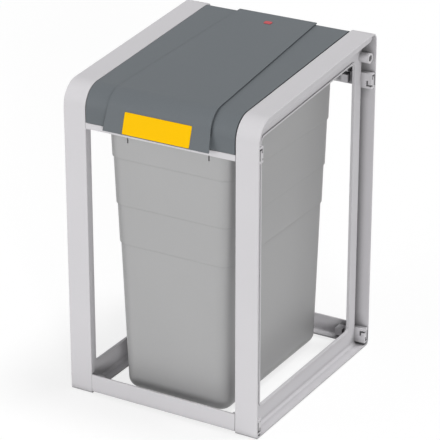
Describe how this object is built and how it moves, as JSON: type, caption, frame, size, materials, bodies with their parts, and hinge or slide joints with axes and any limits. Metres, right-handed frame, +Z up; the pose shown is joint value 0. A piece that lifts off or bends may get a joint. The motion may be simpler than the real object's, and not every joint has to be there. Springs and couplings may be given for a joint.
{
  "type": "waste bin frame",
  "caption": "Free-standing moulded frame with sloping top, hinged lid with flared finger lip and blank label, and a tapered bin hung by its rim on cross rails.",
  "frame": {"origin": "on the floor, in the middle of the outline seen from above", "axes": "+X to the object's right seen from the front, +Y to the back, +Z up"},
  "size_m": [0.365, 0.419, 0.589],
  "materials": {
    "frame_plastic": "fine moulded grain, light grey",
    "lid_plastic": "fine moulded grain, dark blue-grey",
    "bin_plastic": "satin moulded grey",
    "label_plastic": "yellow, smooth",
    "badge_plastic": "red, glossy",
    "pin_plastic": "dark grey, smooth"
  },
  "bodies": {
    "frame": {"left_side_frame": "frame_plastic", "right_side_frame": "frame_plastic", "front_lower_rail": "frame_plastic", "rear_lower_rail": "frame_plastic", "front_upper_rail": "frame_plastic", "rear_upper_rail": "frame_plastic", "front_lower_left_connector": "frame_plastic", "front_lower_right_connector": "frame_plastic", "front_upper_left_connector": "frame_plastic", "front_upper_right_connector": "frame_plastic", "rear_lower_left_connector": "frame_plastic", "rear_lower_right_connector": "frame_plastic", "rear_upper_left_connector": "frame_plastic", "rear_upper_right_connector": "frame_plastic"},
    "lid": {"lid_shell": "lid_plastic", "lid_panel": "lid_plastic", "label_plate": "label_plastic", "badge_plate": "badge_plastic", "left_hinge_pin": "pin_plastic", "right_hinge_pin": "pin_plastic"},
    "bin": {"bin_body": "bin_plastic"}
  },
  "joints": [
    {"name": "lid_hinge", "type": "hinge", "parent": "frame", "child": "lid", "pos_m": [0, 0.1915, 0.54454], "axis": [-1, 0, 0], "range_deg": [0, 95]},
    {"name": "bin_lift", "type": "slide", "parent": "frame", "child": "bin", "axis": [0, 0, 1], "range_m": [0, 0.008]}
  ]
}
